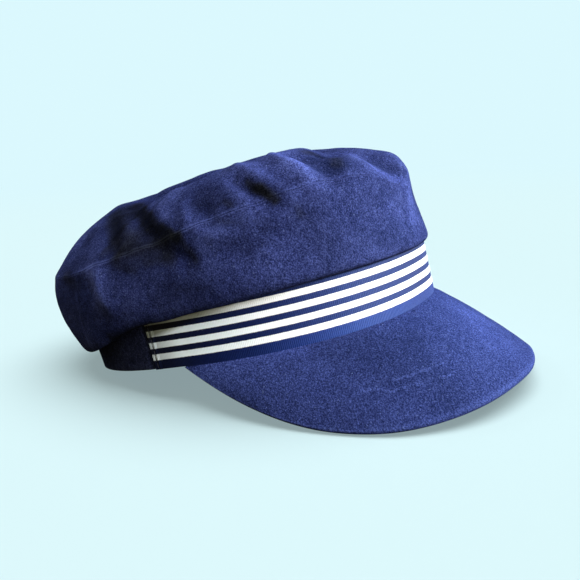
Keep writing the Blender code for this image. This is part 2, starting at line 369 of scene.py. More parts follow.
scuffLooks = {
    "wobble": 1.6,  # how far a line wanders, mm
    "width": (0.55, 0.10),  # from its middle to where it ends and where it fades, mm
    "fadeIn": 0.4,  # at its two ends, mm
    "fadeOut": 0.6,
    "worn": (0.42, 0.55),  # the nap's noise between these breaks the line up
    "strength": (0.08, 0.55),  # its weakest and its strongest
}


def scuffMask(made, wobble, lines):
    # 1 along these lines of the UV map, in millimetres, and 0 away from them
    looks = scuffLooks
    place = made.acrossAndUp()
    mask = None
    for line in lines:
        for (x, y), (endX, endY) in zip(line, line[1:]):
            half = math.hypot(endX - x, endY - y) / 2
            heading = math.atan2(endY - y, endX - x)
            turned = made.add("ShaderNodeMapping",
                              {"Vector": place, "Location": (x, y, 0), "Rotation": (0, 0, heading)},
                              vector_type="TEXTURE").outputs[0]
            along, across = made.apart(turned)
            away = made.math("ABSOLUTE", made.plus(across, wobble))
            past = made.math("ABSOLUTE", made.math("SUBTRACT", along, half))
            near = made.times(
                made.stretched(away, *looks["width"]),
                made.stretched(past, half + looks["fadeOut"], half - looks["fadeIn"]))
            mask = near if mask is None else made.math("MAXIMUM", mask, near)
    return mask


def suedeMaterial(name, shade=1.0, takesToneAndPaintedLight=True, sheen=0.02, tint=(1, 1, 1), mottle=0.7,
                  scuffs=None):
    # The colour runs from dark to light with the tone, which gathers the noises and the marks of
    # tone, painted shade and painted light.
    looks = suedeLooks
    made = Nodes(name)
    where = made.inMillimetres()
    nap, tufts, patches = [made.noise(where, *looks[key]) for key in ("nap", "tufts", "patches")]
    tone = made.swing(nap, looks["napTone"])
    for cloud in (tufts, patches):
        tone = made.plus(tone, made.swing(cloud, mottle))
    tone = made.plus(tone, 0.5)
    # the mark of tone and painted light: painted shade in the creases, painted highlights at the
    # seams and edges
    if takesToneAndPaintedLight:
        tone = made.plus(tone, made.times(made.mark("toneAndPaintedLight"), looks["toneAndPaintedLightScale"]))
    if scuffs:
        mask = scuffMask(made, made.swing(tufts, scuffLooks["wobble"]), scuffs)
        worn = made.stretched(nap, *scuffLooks["worn"], *scuffLooks["strength"])
        tone = made.plus(tone, made.times(mask, worn))
    below = made.mixed(made.stretched(tone, 0.0, 0.5), looks["dark"], looks["middle"])
    colour = made.mixed(made.stretched(tone, 0.5, 1.0), below, looks["light"])
    elsewhere = made.moved(where, Location=(31, 7, 13))
    loose = made.stretched(made.noise(elsewhere, *looks["loose"]), 0.70, 0.80)
    colour = made.mixed(made.times(loose, looks["looseShown"]), colour, looks["fibre"])
    # lean is painted shade (below 0) and painted light (above 0) from the strokes and from under
    # the fold, scaling the colour
    lean = made.mark("lean")
    colour = made.scaled(colour, made.math("MULTIPLY_ADD", lean, shade, shade))
    # the deepest painted shade is also turned greyer, as deep shade looks
    paintedShadeTint = made.stretched(lean, *looks["paintedShadeTintFrom"])
    colour = made.tinted(colour, looks["paintedShadeTint"], paintedShadeTint)
    colour = made.tinted(colour, tint)
    height = made.math("MULTIPLY_ADD", nap, 1.0, made.times(tufts, 1.3))
    made.set(Base_Color=colour, Normal=made.bump(height, looks["relief"], 0.6),
             Roughness=looks["roughness"], Specular_IOR_Level=0.0, Sheen_Weight=sheen,
             Sheen_Roughness=looks["sheenRoughness"], Sheen_Tint=looks["sheenTint"])
    return made.material


print("materials: suede")
suede = suedeMaterial("navy suede")
# the band's suede is darker and greyer than the crown's: partly its own darker suede, partly
# painted shade of the overhang it lies under
suedeDark = suedeMaterial("navy suede of the band", shade=0.5, sheen=0.03,
                          tint=(1.15, 1.04, 0.70))
suedeUnder = suedeMaterial("navy suede of the underside", shade=0.6, sheen=0.03, takesToneAndPaintedLight=False)


# The crown

crown = {
    # angle, fold out, fold drop, bulge, seam out, seam height, shoulder
    "rows": (
        (0, 2.8, 0.6, -1.5, 1.8, 64.7, 3.0),
        (20, 2.9, 0.2, -1.5, -0.2, 73.5, 3.2),
        (42, 5.4, 0.2, 0.7, -0.6, 73.2, 3.7),
        (66, 7.0, 2.3, 2.2, -2.6, 68.8, 3.1),
        (80, 6.1, 3.0, 2.8, -2.5, 65.8, 2.9),
        (90, 5.5, 4.4, 3.2, -2.4, 63.7, 2.7),
        (101, 5.1, 5.1, 3.2, -1.6, 61.8, 2.5),
        (112, 5.4, 8.6, 3.1, 0.4, 60.0, 2.4),
        (132, 8.2, 16.2, 1.7, 6.0, 57.2, 2.6),
        (152, 11.1, 15.2, 3.6, 14.4, 57.5, 3.4),
        (180, 12.7, 13.5, 3.5, 20.0, 60.5, 3.7),
    ),
    # which way the wall's inner face lies, out and up, at each of the section's six places
    "wallWays": ((0, 1), (0.8, 0.6), (0, 1), (-1, 0), (-1, 0), (-0.95, -0.45)),
    "wall": 1.5,
    "leastDrop": 0.3,  # of the fold below the sewn edge
    "foldRise": 3.0,  # from the fold's underside to its outermost place
    "foldRiseShare": 0.45,  # and more where the fold stands out further
    "edgeOut": -2.2,  # the edge sewn to the band
    "turnOut": 0.6,
    "edgeHeight": 29.3,
    "tipCentre": -5.0,  # of the top, towards the back
    "tipHeight": 94.0,
    "tipRadius": 95.0,
    "sideSeam": 129.0,  # degrees from the front
    "gap": 0.06,  # between the panels at the seams
    "sideLength": 66.0,  # mm along a side panel's section
    "sideRadius": 88.0,  # mm to the side seams
    "topCells": 150,
    "frontGrid": (400, 66),  # columns and rows
    "backGrid": (160, 66),
    "fineColumns": (2.4, 8),  # the outermost mm, and how many columns or rows lie in them
    "fineRows": (2.4, 7),
    "fineRings": (2.2, 9),
    "free": (0.22, 0.40),  # shares of the section between which folds and dents start
    "under": (0.52, 0.40),  # and between which painted shade darkens the fold's underside
    "underShade": -0.6,
    "calmTo": 0.35,  # share of the top, round its middle, that is calmer
    "rollRadius": 0.25,  # of the edges turned in at the seams
    "roundBy": ((0, 3.0), (45, 2.6), (75, 1.2), (110, 0.8), (180, 1.2)),  # at the seam, mm
    "roundOver": 14.0,
    "bend": 15.0,  # near the seam, creases turn from out to up
    "arc": 1.6,  # mm round the crown for one degree
    "stiff": (0.6, 0.0, 4.0),  # the seam takes this share off creases: share, middle, half width
    "uneven": ((17.0, 0.55, 1), (6.0, 0.16, 2)),  # size, height, seed
    # small gathers that the seam's thread draws up: width, length, height, reach from the seam
    "gathers": (7.0, 22.0, 0.55, 7.0),
    # painted shade in the valleys and painted light on the ridges for each mm of crease, and tone
    # that follows the uneven form and the gathers
    "paintedCreaseShading": -0.45 / 2.2,
    "paintedCreaseShadingRange": (-0.7, 0.5),
    "unevenTone": 0.5,
    "gatherTone": 0.9,
    "paintedSeamHighlight": (1.7, 0.6, 0.5),  # the pale line at the seams, a painted highlight of the rolled edges: amount, mm from it, half width
    # degrees from the front, and how much of that line shows there
    "paintedSeamHighlightShown": ((20, 0.1), (60, 0.35), (85, 1.0), (121, 1.0), (127, 0.45)),
    # angle, rise, to angle, to rise, half width, depth: a valley above 0, a ridge below
    "creases": (
        (152, 58, 126, 40, 7, 0.9), (131, 40, 99, 12, 5, 2.6), (97, 9, 77, -15, 4.5, 2.8),
        (77, 17, 70, 8, 8, 3.4), (58, 21, 51, -1, 3.6, 2.1), (44, 45, 44, 9, 5, 1),
        (-20, 42, 28, 24, 8, 3), (28, 24, 28, 1, 7, 3.2), (-6, 15, -5, 2, 7, 2.5),
        (136, 37, 112, 7, 5, 1.9), (133, 3, 120, -12, 6, 1.3), (141, 20, 142, 13, 5, 1.5),
        (138, 60, 95, 62, 16, 8), (160, 80, 120, 86, 14, 2), (95, 58, 75, 66, 16, 2.5),
        (168, 46, 150, 57, 9, -1.7), (-24, 5, -8, -2, 7, -1.9), (172, 26, 170, -4, 8, 2),
        (-160, 32, -164, -8, 8, 2.5), (-135, 34, -122, -6, 8, 2.8), (-108, 30, -96, -12, 9, 3.2),
        (-82, 26, -74, 2, 8, 3), (-58, 26, -50, -6, 6, 2.5), (80, 16, 76, 4, 5, -1.5),
        (76, 4, 66, -8, 5, -1.5), (66, -8, 57, -10, 5, -1.5), (55, 34, 43, -5, 4.5, -1.6),
        (105, 48, 94, 22, 6, -1.5), (-10, 58, 34, 33, 7, -1.8), (38, 33, 35, -2, 4.5, -2.6),
        (1, 26, 12, 9, 5, -1.5), (119, 2, 111, -23, 6, -2), (117, 24, 105, 10, 4, -1.2),
        (-95, 24, -86, -6, 6, -1.6), (-68, 24, -62, -8, 5, -1.5), (-147, 26, -144, -10, 7, -1.6),
    ),
    "blend": 4,  # the power that blends creases where they meet
    "paintedLightRange": (-0.88, 1.0),
    # strokes of painted shade (below 0) and painted light (above 0) over the folds, with some of
    # the nap's own tone, fitted to the photo's light and dark, so they stay as they are when the
    # lamps are moved
    # angle, rise, to angle, to rise, half width, amount
    "nap": (
        (49, 6, 46, -4, 3, -0.4), (151, 61, 118, 34, 4, -0.55), (118, 34, 104, 20, 2.5, -0.8),
        (104, 21, 91, 7, 4, -0.6), (87, 7, 81, -2, 4, -0.45), (82, 4, 73, -17, 3.5, -0.55),
        (87, 1, 81, -17, 6, -0.35), (133, 36, 103, 11, 10.5, -0.3), (92, -10, 85, -9, 4, -0.15),
        (113, 9, 93, 0, 10, -0.4), (172, 50, 153, 55, 7.5, -0.4), (110, -12, 97, -26, 9.5, 0.55),
        (100, 25, 81, 3, 2.5, 0.65), (148, 23, 144, 4, 8, 0.6), (108, -8, 83, -11, 5.5, -0.25),
        (65, -2, 58, -9, 4, -0.4), (118, 9, 116, 2, 3, -0.25), (56, 23, 49, -2, 6, 0.75),
        (116, -39, 97, -36, 4, -0.5), (43, 32, 41, 14, 4.5, 0.55), (106, 0, 86, -1, 5.5, -0.25),
        (145, 44, 119, 19, 6, -0.55), (119, 18, 107, 1, 3.5, -0.2), (110, -3, 98, -12, 3.5, -0.35),
        (142, 25, 139, 20, 5, -0.45), (75, 14, 71, 13, 7, -0.4), (62, 6, 60, 3, 3, -0.55),
        (53, 18, 53, 8, 4, -0.45), (53, 13, 48, -4, 3, -0.95), (50, 5, 46, 0, 4.5, -0.5),
        (53, -10, 51, -14, 4, -0.35), (64, -11, 56, -20, 5.5, -0.35), (42, -9, 42, -13, 3.5, -0.35),
        (12, 28, 23, 9, 6, -0.6), (-9, 14, -8, 0, 4, -0.55), (85, -26, 71, -31, 6, -0.4),
        (137, -1, 129, -18, 7.5, -0.25), (126, -24, 119, -35, 7, -0.25),
        (121, -3, 117, -14, 5, 0.95),
        (110, -14, 108, -18, 4.5, -0.5), (80, 16, 76, 3, 2, 0.4), (76, 4, 70, -6, 2, 0.35),
        (72, -4, 59, -12, 2.5, 0.5), (-8, -4, -8, -23, 9.5, 0.45), (34, 32, 37, 10, 4, 0.8),
        (36, 11, 36, -4, 3, 0.4), (-15, 37, 7, 13, 3.5, 0.75), (7, 8, -4, 2, 3.5, 0.7),
        (-4, -4, -7, -14, 5, 0.2), (21, 34, 12, 38, 4.5, -0.5), (12, 4, -3, 1, 3.5, 0.25),
        (-9, 17, -9, 10, 4, 0.45), (165, 73, 140, 69, 5.5, 0.4), (141, 5, 127, -8, 6, -0.4),
        (39, -16, 36, -35, 7, -0.3), (150, 48, 146, 42, 5, -0.25), (28, -32, 8, -39, 7, -0.15),
        (10, -17, -1, -21, 6.5, 0.3), (62, -23, 49, -32, 8, 0.15), (50, 28, 47, 16, 4, 0.1),
    ),
}


def crownSection(angle):
    # the table's six values at these angles, joined by a smooth curve
    rows = np.array(crown["rows"], dtype=float)
    degrees = fromFront(angle)
    knots = np.vstack([rows[1], rows, rows[-2]])
    knots[0, 0] = -rows[1, 0]
    knots[-1, 0] = 360 - rows[-2, 0]
    place = np.clip(np.searchsorted(rows[:, 0], degrees, side="right"), 1, len(rows) - 1)
    before, start, end, after = [knots[place + step] for step in (-1, 0, 1, 2)]
    span = (end - start)[:, :1]
    share = (degrees[:, None] - start[:, :1]) / span
    leave = (end - before) / (end - before)[:, :1] * span
    arrive = (after - start) / (after - start)[:, :1] * span
    return hermite(start, end, leave, arrive, share).T[1:]


def crownKnots(angle):
    # out and up of the section's six places, from the sewn edge round the fold to the seam
    foldOut, foldDrop, bulge, seamOut, seamHeight, shoulder = crownSection(angle)
    ones = np.ones_like(angle)
    edgeHeight = crown["edgeHeight"] * ones
    lowHeight = crown["edgeHeight"] - crown["leastDrop"] - foldDrop
    foldHeight = lowHeight + crown["foldRise"] + crown["foldRiseShare"] * foldOut
    outs = [crown["edgeOut"] * ones, crown["turnOut"] * ones, foldOut / 2, foldOut,
            (foldOut + seamOut) / 2 + bulge, seamOut]
    heights = [edgeHeight, edgeHeight, lowHeight, foldHeight,
               (foldHeight + seamHeight) / 2, seamHeight]
    return np.stack([outs, heights], axis=-1)


def curveThrough(knots, share):
    # a smooth curve through the section's places, at this share of its length
    spans = len(knots) - 1
    span = np.minimum((share * spans).astype(int), spans - 1)
    local = (share * spans - span)[:, None]
    first = 2 * knots[0] - knots[1]
    last = 2 * knots[-1] - knots[-2]
    padded = np.concatenate([first[None], knots, last[None]])
    each = np.arange(len(share))
    before, start, end, after = [padded[span + step, each] for step in range(4)]
    return hermite(start, end, (end - before) / 2, (after - start) / 2, local)


def softStroke(x, y, lineX, lineY, halfWidth):
    # 1 on the line from the origin to (lineX, lineY), dying out softly to all sides
    share = np.clip((x * lineX + y * lineY) / (lineX**2 + lineY**2), 0, 1)
    return np.exp(-(np.hypot(x - lineX * share, y - lineY * share) / halfWidth) ** 2)


def crownStroke(angle, rise, fromAngle, fromRise, toAngle, toRise, halfWidth):
    # rise is the height over the seam, and on the top the way in from it
    arc = crown["arc"] * graded(rise, crown["tipRadius"], 0)
    turn = (np.degrees(angle) - fromAngle + 180) % 360 - 180
    return softStroke(turn * arc, rise - fromRise, (toAngle - fromAngle) * arc,
                      toRise - fromRise, halfWidth)


def creaseDepth(angle, rise):
    # valleys and ridges are blended apart, so that neither fills the other
    blend = crown["blend"]
    total = {True: 0.0, False: 0.0}
    for *line, depth in crown["creases"]:
        here = abs(depth) * crownStroke(angle, rise, *line)
        total[depth > 0] = total[depth > 0] + here**blend
    valleys, ridges = total[True] ** (1 / blend), total[False] ** (1 / blend)
    return (valleys - ridges) * (1 - softLine(rise, *crown["stiff"]))


# the strokes' painted shade (below 0) and painted light (above 0) at these places
def paintedLightStrokes(angle, rise):
    total = 0.0
    for *line, amount in crown["nap"]:
        total = total + amount * crownStroke(angle, rise, *line)
    return np.clip(total, *crown["paintedLightRange"])


def outwards(angle, rise):
    lean = graded(rise, -crown["bend"], crown["bend"]) * math.pi / 2
    way = np.cos(lean)[:, None] * ovalNormal(angle)
    way[:, 2] += np.sin(lean)
    return way


def pucker(angle, rise):
    # the gathers at the seam, which die out away from it
    width, length, height, reach = crown["gathers"]
    along = np.degrees(angle) * crown["arc"] / width
    places = np.stack([along, 0 * along, rise / length], axis=-1)
    return unevenness(places, ((1, height, 0),)) * np.exp(-np.abs(rise) / reach)


def seamRounding(angle, rise):
    # the seam is soft, so the edge between side and top is rounder than its section
    most = np.interp(fromFront(angle), *zip(*crown["roundBy"]))
    return most * graded(np.abs(rise), crown["roundOver"], 0) ** 2


def crownRelief(points, angle, rise, toSeam, calm=1.0):
    # everything that is added to the plain form, and the marks it brings: tone, painted shade and
    # painted light
    crease = creaseDepth(angle, rise) * calm
    soft = unevenness(points, crown["uneven"])
    gathers = pucker(angle, rise)
    roll = edgeRoll(toSeam, crown["rollRadius"])
    lift = soft + gathers - crease - roll - seamRounding(angle, rise)
    # painted shade in the creases' valleys and painted light on their ridges
    toneAndPaintedLight = np.clip(crown["paintedCreaseShading"] * crease, *crown["paintedCreaseShadingRange"])
    # tone that follows the uneven form and the gathers, paler where higher and darker where lower
    toneAndPaintedLight = toneAndPaintedLight + crown["unevenTone"] * soft + crown["gatherTone"] * gathers
    # a painted highlight along the rolled seams, more of it towards the sides
    shown = np.interp(fromFront(angle), *zip(*crown["paintedSeamHighlightShown"]))
    toneAndPaintedLight = toneAndPaintedLight + shown * softLine(toSeam, *crown["paintedSeamHighlight"])
    # lean carries the strokes' painted shade and painted light
    return lift, {"toneAndPaintedLight": toneAndPaintedLight, "lean": paintedLightStrokes(angle, rise) * calm}


def sidePanel(name, firstAngle, lastAngle, grid, node):
    columns, rows = grid
    first, last = math.radians(firstAngle), math.radians(lastAngle)
    wide = math.degrees(last - first) * crown["arc"]
    trim = crown["gap"] / 2 / crown["sideRadius"]

    def place(x, y, z, depth):
        x = fineEnds(x, wide, columns, crown["fineColumns"])
        y = fineEnds(y, crown["sideLength"], rows, crown["fineRows"], low=False)
        angle = between(first + trim, last - trim, x)
        outer = crownKnots(angle)
        seamHeight = outer[-1, :, 1].copy()
        outer[-1, :, 1] -= crown["gap"] / 2
        ways = np.array(crown["wallWays"])[:, None, :] * crown["wall"] * depth[None, :, None]
        profile = curveThrough(outer + ways, y)
        outside = curveThrough(outer, y)
        rise = outside[:, 1] - seamHeight
        lastSpan = np.linalg.norm(outer[-1] - outer[-2], axis=-1)
        toTop = (1 - y) * (len(outer) - 1) * lastSpan
        toSeam = np.minimum(toTop, np.minimum(x, 1 - x) * wide)
        lift, marks = crownRelief(ovalPlace(angle, *outside.T), angle, rise, toSeam)
        # painted shade on the fold's turned-under part
        marks["lean"] = marks["lean"] + crown["underShade"] * graded(y, *crown["under"])
        lift = lift * graded(y, *crown["free"])
        return ovalPlace(angle, *profile.T) + lift[:, None] * outwards(angle, rise), marks

    wallPiece(name, gridSheet(columns, rows), place, suede, node)


def topPanel(name, cells, node):
    def place(x, y, z, depth):
        angle = np.arctan2(-x, -y)
        share = fineEnds(np.hypot(x, y), crown["tipRadius"], cells / 2, crown["fineRings"],
                         low=False)
        seamOut, seamHeight = crownKnots(angle)[-1].T
        shoulder = crownSection(angle)[-1]
        rim = ovalPlace(angle, seamOut, seamHeight)
        way = np.array(crown["wallWays"][-1]) * crown["wall"]
        innerRim = ovalPlace(angle, seamOut + way[0], seamHeight + way[1])
        centre = np.array([0, crown["tipCentre"], crown["tipHeight"]])
        reach = np.linalg.norm((rim - centre)[:, :2], axis=-1)
        share = share * (1 - crown["gap"] / 2 / reach)
        rise = (1 - share) * reach

        def surface(edge, middle):
            point = between(middle, edge, share[:, None])
            point[:, 2] = between(edge[:, 2], middle[2], 1 - share**shoulder)
            return point

        outside = surface(rim, centre)
        inside = surface(innerRim, centre - np.array([0, 0, crown["wall"]]))
        # the middle of the top stays calm, as all angles meet there
        calm = graded(share, 0, crown["calmTo"]) ** 2
        lift, marks = crownRelief(outside, angle, rise, rise, calm * (3 - 2 * np.sqrt(calm)))
        point = between(outside, inside, depth[:, None])
        return point + lift[:, None] * outwards(angle, rise), marks

    wallPiece(name, discSheet(cells), place, suede, node)


print("crown: top panel and two side panels")
topPanel("crownTopPanel", crown["topCells"], "crown_top")
seam = crown["sideSeam"]
sidePanel("crownFrontPanel", -seam, seam, crown["frontGrid"], "crown_front")
sidePanel("crownBackPanel", seam, 360 - seam, crown["backGrid"], "crown_back")


# The band and its ribbon

band = {
    "height": 29.0,
    "wall": 2.0,
    "letIn": 1.1,  # where the ribbon lies
    "endAngle": 102.0,  # degrees from the front to the ribbon's end
    "step": (0.6, 2.6),  # degrees past it, over which the let-in ends
    "edgeRadius": 1.1,
    "leanIn": 1.5,  # of the rim at the back, mm
    "leanFrom": (15.0, 40.0),  # degrees past the ribbon's end, over which that grows
    "grid": (480, 16),
    "fineRows": (1.6, 5),
    "uneven": ((15.0, 0.30, 3),),  # size, height, seed
    "toneAndPaintedLight": (0.6, 0.8, 0.8),  # the pale line at its edges: amount, mm from it, half width
}


def bandPlace(x, y, z, depth):
    angle = np.arctan2(-x, -y)
    turn = fromFront(angle) - band["endAngle"]
    full = graded(turn, *band["step"])
    full = full * full * (3 - 2 * full)
    outside = (full - 1) * band["letIn"]
    inside = -(band["letIn"] + band["wall"])
    up = fineEnds(z, band["height"], band["grid"][1], band["fineRows"])
    height = up * band["height"]
    toEdge = np.minimum(height, band["height"] - height)
    roll = edgeRoll(toEdge, band["edgeRadius"])
    points = ovalPlace(angle, between(outside - roll, inside + roll, depth), height)
    soft = unevenness(points, band["uneven"]) * full * (1 - depth)
    soft -= band["leanIn"] * graded(turn, *band["leanFrom"]) * (1 - up)
    toneAndPaintedLight = softLine(toEdge, *band["toneAndPaintedLight"])
    return points + soft[:, None] * ovalNormal(angle), {"toneAndPaintedLight": toneAndPaintedLight}


print("band and ribbon")
wallPiece("suedeBand", ringSheet(*band["grid"]), bandPlace, suedeDark, "band")

ribbon = {
    "height": 28.3,
    "length": 321.0,
    "wall": 0.8,
    "halfAngle": 102.0,
    "arc": 1.575,  # mm for one degree, at the ribbon
    "grid": (1040, 16),
    "fineColumns": (6, 16),
    "fineRows": (0.7, 3),
    "edgeRadius": 0.4,
    "innerRadius": 0.3,
    "footFirm": 0.3,  # the foot's edge is rolled in less, by this much
    "sunk": 0.8,  # how far the foot goes down into the seam over the peak
    "sunkTo": (88.0, 83.0),  # degrees from the front, between which it goes down
    "sunkHeight": 4.0,  # of the foot that follows
    "hemHeight": 0.45,  # the end is folded under
    "hemWidth": (5.0, 3.8),  # from the end, to the hem's foot and to its top
    "stitchIn": 2.2,  # from the folded end to its stitch line
    "grooveDepth": 0.42,  # along that line
    "grooveHalfWidth": 0.45,
    "ribPitch": 0.9,
    "ribDepth": 0.03,
    "ribRelief": 0.00022,  # of the weave's bump, metres
    "ribRagged": 0.07,  # how the ribs and the weave move the stripes' edges, mm
    "wander": 0.24,
    "wanderNoise": (0.5, 2.0),  # how many to the millimetre, detail, roughness
    "threadNoise": (2.2, 2.0, 0.6),
    "firstStripe": 4.87,  # height of the lowest white stripe
    "stripe": 3.12,
    "stripeSoft": 0.06,
    "stripePitch": 6.12,
    "stripes": 4,
    "white": (0.91, 0.93, 0.95, 1.0),
    "ivory": (0.80, 0.80, 0.78, 1.0),  # of the threads in the white
    "ivoryShown": 0.35,
    "sideWhite": (0.83, 0.94, 1.0, 1.0),
    "sideFrom": (85.0, 125.0),  # mm along, between which the white takes a painted bluish cast of the light
    "end": 160.0,  # mm along from the middle to the end
    # the navy with painted sheen, brightest near the front where the light glints, and painted
    # shade towards the ends: mm along from the middle, colour
    "navy": (
        (5, (0.0087, 0.0183, 0.088, 1.0)),
        (21, (0.0104, 0.0225, 0.101, 1.0)),
        (52, (0.0143, 0.0305, 0.127, 1.0)),
        (75, (0.0082, 0.0186, 0.094, 1.0)),
        (99, (0.0033, 0.0092, 0.054, 1.0)),
        (126, (0.0018, 0.0049, 0.031, 1.0)),
        (142, (0.0017, 0.0042, 0.020, 1.0)),
    ),
    "threadLight": (0.8, 1.5),  # the navy's least and most light, thread by thread
    "margin": (1.12, 1.28, 1.38, 1.0),  # lustre of the navy below the lowest stripe
    "marginSoft": 0.4,
    "shadeFrom": 140.0,  # where the ends go into the shade, mm along
    "shadeEnd": (0.45, 0.45, 0.45, 1.0),
    "shadeFold": (0.35, 0.34, 0.265, 1.0),  # shade under the crown's fold
    "foldFrom": (100.0, 124.0),  # mm along, between which that shade grows
    "foldHangs": 6.5,  # how much lower the fold hangs at the ribbon's end
    "tucked": (21.5, 24.0),  # heights between which the fold's shade starts
}


def ribbonMaterial(name):
    made = Nodes(name)
    along, up = made.apart(made.acrossAndUp())
    aside = made.math("ABSOLUTE", along)
    rib = made.math("SINE", made.times(along, 2 * math.pi / ribbon["ribPitch"]))
    where = made.inMillimetres()
    threads = made.noise(where, *ribbon["threadNoise"])
    # stripes, by how far up the pattern a place is
    wander = made.swing(made.noise(where, *ribbon["wanderNoise"]), ribbon["wander"])
    ragged = made.math("MULTIPLY_ADD", rib, ribbon["ribRagged"], made.plus(up, wander))
    first, half = ribbon["firstStripe"], ribbon["stripe"] / 2
    last = first + ribbon["stripePitch"] * (ribbon["stripes"] - 1) + ribbon["stripe"]
    above = made.math("SUBTRACT", made.math("SUBTRACT", ragged, first), half)
    cycle = made.math("PINGPONG", above, ribbon["stripePitch"] / 2)
    inStripe = made.stretched(cycle, half + ribbon["stripeSoft"], half - ribbon["stripeSoft"])
    low = made.math("GREATER_THAN", ragged, first - 0.5)
    high = made.math("LESS_THAN", ragged, last + 0.5)
    inStripe = made.times(inStripe, made.times(low, high))
    # white, with a painted bluish cast of the light towards the sides
    grey = made.times(made.stretched(threads, 0.35, 0.75), ribbon["ivoryShown"])
    white = made.mixed(grey, ribbon["white"], ribbon["ivory"])
    white = made.mixed(made.stretched(aside, *ribbon["sideFrom"]), white, ribbon["sideWhite"])
    # navy, with painted sheen and painted shade along it
    blue = made.ramp(aside, ribbon["end"], ribbon["navy"])
    blue = made.scaled(blue, made.stretched(threads, 0.3, 0.75, *ribbon["threadLight"]))
    below = made.stretched(up, first + ribbon["marginSoft"], first)
    blue = made.tinted(blue, ribbon["margin"], below)
    colour = made.mixed(inStripe, blue, white)
    # shade at the ends and under the crown's fold, which hangs lower at the ends
    ending = made.stretched(aside, ribbon["shadeFrom"], ribbon["end"])
    colour = made.tinted(colour, ribbon["shadeEnd"], ending)
    foldFrom, foldFull = ribbon["foldFrom"]
    hangs = made.stretched(aside, foldFull, ribbon["end"], 0.0, ribbon["foldHangs"])
    tucked = made.stretched(made.plus(up, hangs), *ribbon["tucked"])
    under = made.times(tucked, made.stretched(aside, foldFrom, foldFull))
    colour = made.tinted(colour, ribbon["shadeFold"], under)
    furrow = made.math("MULTIPLY_ADD", rib, 0.5, made.times(threads, 0.6))
    made.set(Base_Color=colour, Normal=made.bump(furrow, ribbon["ribRelief"], 0.5),
             Roughness=0.5, Specular_IOR_Level=0.1)
    return made.material


def ribbonGrid(x, y):
    # the angle and the height of the ribbon's columns and rows
    columns, rows = ribbon["grid"]
    half = math.radians(ribbon["halfAngle"])
    angle = between(-half, half, fineEnds(x, ribbon["length"], columns, ribbon["fineColumns"]))
    height = fineEnds(y, ribbon["height"], rows, ribbon["fineRows"]) * ribbon["height"]
    return angle, height


def ribbonArc(angle):
    return np.degrees(angle) * ribbon["arc"]


def ribbonPlace(x, y, z, depth):
    angle, height = ribbonGrid(x, y)
    toEnd = ribbonArc(math.radians(ribbon["halfAngle"]) - np.abs(angle))
    sunk = ribbon["sunk"] * graded(fromFront(angle), *ribbon["sunkTo"])
    toFoot, toTop = height + ribbon["footFirm"] + sunk, ribbon["height"] - height
    roll = edgeRoll(np.minimum(np.minimum(toFoot, toTop), toEnd), ribbon["edgeRadius"])
    ribs = ribbon["ribDepth"] * np.sin(2 * math.pi * ribbonArc(angle) / ribbon["ribPitch"])
    hem = ribbon["hemHeight"] * graded(toEnd, *ribbon["hemWidth"])
    groove = softLine(toEnd, ribbon["grooveDepth"], ribbon["stitchIn"], ribbon["grooveHalfWidth"])
    outside = ribs + hem - groove - roll
    inside = -ribbon["wall"] + np.minimum(roll, ribbon["innerRadius"])
    height = height - sunk * graded(height, ribbon["sunkHeight"], 0)
    return ovalPlace(angle, between(outside, inside, depth), height), {}


def ribbonUv(x, y, z):
    angle, height = ribbonGrid(x, y)
    return ribbonArc(angle), height


stripedRibbon = ribbonMaterial("striped ribbon weave")
wallPiece("stripedRibbonStrip", gridSheet(*ribbon["grid"]), ribbonPlace, stripedRibbon, "ribbon",
          ribbonUv)


# The stitches of the ribbon's ends

stitches = {
    "length": 2.5,
    "pitch": 3.1,
    "width": 0.42,
    "out": 0.12,  # of their middles from the oval
    "first": 1.0,  # height of the lowest one's foot
    "last": 0.6,  # least room over the highest one
    "sides": (8, 6),
    "colour": (0.02, 0.024, 0.06, 1.0),
    "darker": 0.4,  # between the thread's turns
}


def threadMaterial(name):
    made = Nodes(name)
    twist = made.noise(made.inMillimetres(), 6.0, 1.0)
    colour = stitches["colour"]
    darker = tuple(stitches["darker"] * part for part in colour[:3]) + (1.0,)
    made.set(Base_Color=made.mixed(twist, darker, colour), Normal=made.bump(twist, 0.0001, 0.6),
             Roughness=0.7, Sheen_Weight=0.2)
    return made.material


def stitchRow(name, ends, material):
    # one small round-ended stitch for each pair of points
    row = bmesh.new()
    around, along = stitches["sides"]
    radius = stitches["width"] / 2 * mm
    for pair in ends:
        start, end = [capToWorld @ (Vector(point) * mm) for point in pair]
        way = end - start
        made = bmesh.ops.create_uvsphere(row, u_segments=around, v_segments=along,
                                         radius=radius)["verts"]
        for vert in made:
            if abs(vert.co.z) > radius / 100:  # the ring round the middle stays
                vert.co.z += math.copysign(way.length / 2 - radius, vert.co.z)
        turn = Vector((0, 0, 1)).rotation_difference(way).to_matrix().to_4x4()
        bmesh.ops.transform(row, matrix=Matrix.Translation((start + end) / 2) @ turn, verts=made)
    finish(name, row, material)


def ribbonStitches(side):
    ends = []
    angle = side * math.radians(ribbon["halfAngle"] - ribbon["stitchIn"] / ribbon["arc"])
    foot = stitches["first"]
    while foot + stitches["length"] < ribbon["height"] - stitches["last"]:
        heights = np.array([foot, foot + stitches["length"]])
        ends.append(ovalPlace(np.array([angle, angle]), stitches["out"], heights))
        foot += stitches["pitch"]
    return ends


print("stitches of the ribbon's ends")
darkThread = threadMaterial("navy thread")
stitchRow("ribbonStitchesRight", ribbonStitches(1), darkThread)
stitchRow("ribbonStitchesLeft", ribbonStitches(-1), darkThread)


# The peak

